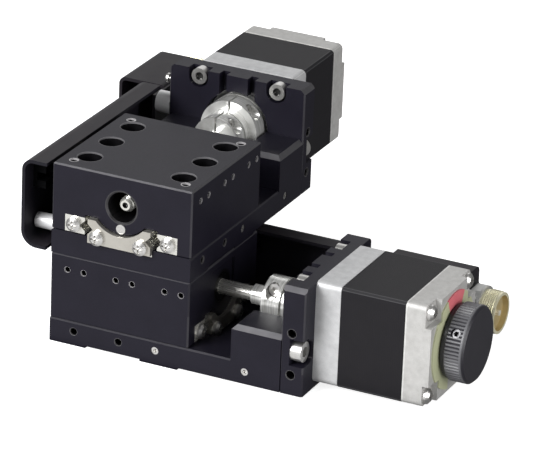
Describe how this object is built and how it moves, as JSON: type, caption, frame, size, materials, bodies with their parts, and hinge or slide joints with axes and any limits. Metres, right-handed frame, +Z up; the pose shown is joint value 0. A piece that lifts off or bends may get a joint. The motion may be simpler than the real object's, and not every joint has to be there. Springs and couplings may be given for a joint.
{
  "type": "two-axis motorized linear stage",
  "caption": "Two-axis stack of compact motorized linear stages with crossed-roller rails, lead screws, couplings, stepper motors with hand knobs and side sensor covers.",
  "frame": {"origin": "middle of the four fixing holes, on the underside of the lower base", "axes": "+X along the lower table's travel towards its motor, +Y along the upper table's travel towards its motor, +Z up to the upper table"},
  "size_m": [0.1304, 0.1145, 0.0555],
  "materials": {
    "black_anodised": "satin black anodised",
    "black_sheet": "black painted sheet",
    "ground_steel": "ground",
    "satin_nickel": "satin nickel plate",
    "bright_screws": "bright plated",
    "cast_aluminium": "blasted casting",
    "black_stack": "matt black laminations",
    "rotor_steel": "ground",
    "pale_disc": "satin pale green with a red patch",
    "satin_aluminium": "satin turned",
    "black_plastic": "moulded",
    "gold_plate": "gold plate with a grey nut",
    "bronze": "turned",
    "polished_coupling": "polished",
    "black_knob": "black anodised, knurled"
  },
  "bodies": {
    "root": {"lower_base": "black_anodised", "lower_centre_rail": "ground_steel", "lower_end_plates": "satin_nickel", "lower_base_screws": "bright_screws", "lower_bearing_block": "black_anodised", "lower_bearing_outer_rings": "ground_steel", "lower_motor_bracket": "black_anodised", "lower_bracket_screws": "bright_screws", "lower_motor_flange": "cast_aluminium", "lower_motor_stator": "black_stack", "lower_motor_rear_cap": "cast_aluminium", "lower_motor_case_screws": "bright_screws", "lower_motor_ring": "pale_disc", "lower_sensor_cover": "black_sheet", "lower_spacers": "satin_aluminium", "lower_limit_sensors": "black_plastic", "lower_connector_box": "black_sheet", "lower_connector": "gold_plate"},
    "lower_slide": {"lower_table": "black_anodised", "lower_outer_rails": "ground_steel", "lower_rail_screws": "bright_screws", "lower_feed_nut": "bronze", "lower_sensor_dog": "satin_nickel", "upper_base": "black_anodised", "upper_centre_rail": "ground_steel", "upper_end_plates": "satin_nickel", "upper_base_screws": "bright_screws", "upper_bearing_block": "black_anodised", "upper_bearing_outer_rings": "ground_steel", "upper_motor_bracket": "black_anodised", "upper_bracket_screws": "bright_screws", "upper_motor_flange": "cast_aluminium", "upper_motor_stator": "black_stack", "upper_motor_rear_cap": "cast_aluminium", "upper_motor_case_screws": "bright_screws", "upper_motor_ring": "pale_disc", "upper_sensor_cover": "black_sheet", "upper_spacers": "satin_aluminium", "upper_limit_sensors": "black_plastic", "upper_connector_box": "black_sheet", "upper_connector": "gold_plate"},
    "upper_slide": {"upper_table": "black_anodised", "upper_outer_rails": "ground_steel", "upper_rail_screws": "bright_screws", "upper_feed_nut": "bronze", "upper_sensor_dog": "satin_nickel"},
    "lower_screw": {"lower_feed_screw": "ground_steel", "lower_bearing_inner_rings": "ground_steel", "lower_coupling": "polished_coupling", "lower_clamp_screws": "bright_screws", "lower_motor_rotor": "rotor_steel", "lower_knob": "black_knob"},
    "upper_screw": {"upper_feed_screw": "ground_steel", "upper_bearing_inner_rings": "ground_steel", "upper_coupling": "polished_coupling", "upper_clamp_screws": "bright_screws", "upper_motor_rotor": "rotor_steel", "upper_knob": "black_knob"},
    "lower_cages": {"lower_roller_cages": "ground_steel"},
    "upper_cages": {"upper_roller_cages": "ground_steel"}
  },
  "joints": [
    {"name": "lower_knob_turn", "type": "hinge", "parent": "root", "child": "lower_screw", "pos_m": [0, 0, 0.0165], "axis": [1, 0, 0], "range_deg": [-3600, 3600]},
    {"name": "lower_table_slide", "type": "slide", "parent": "root", "child": "lower_slide", "axis": [1, 0, 0], "range_m": [-0.01, 0.01]},
    {"name": "lower_cage_creep", "type": "slide", "parent": "root", "child": "lower_cages", "axis": [1, 0, 0], "range_m": [-0.005, 0.005]},
    {"name": "upper_knob_turn", "type": "hinge", "parent": "lower_slide", "child": "upper_screw", "pos_m": [0, 0, 0.0415], "axis": [0, 1, 0], "range_deg": [-3600, 3600]},
    {"name": "upper_table_slide", "type": "slide", "parent": "lower_slide", "child": "upper_slide", "axis": [0, 1, 0], "range_m": [-0.01, 0.01]},
    {"name": "upper_cage_creep", "type": "slide", "parent": "lower_slide", "child": "upper_cages", "axis": [0, 1, 0], "range_m": [-0.005, 0.005]}
  ],
  "couplings": [
    {"joint": "lower_knob_turn", "follows": "lower_table_slide", "rad_per_m": -6283.2},
    {"joint": "lower_cage_creep", "follows": "lower_table_slide", "ratio": 0.5},
    {"joint": "upper_knob_turn", "follows": "upper_table_slide", "rad_per_m": -6283.2},
    {"joint": "upper_cage_creep", "follows": "upper_table_slide", "ratio": 0.5}
  ]
}
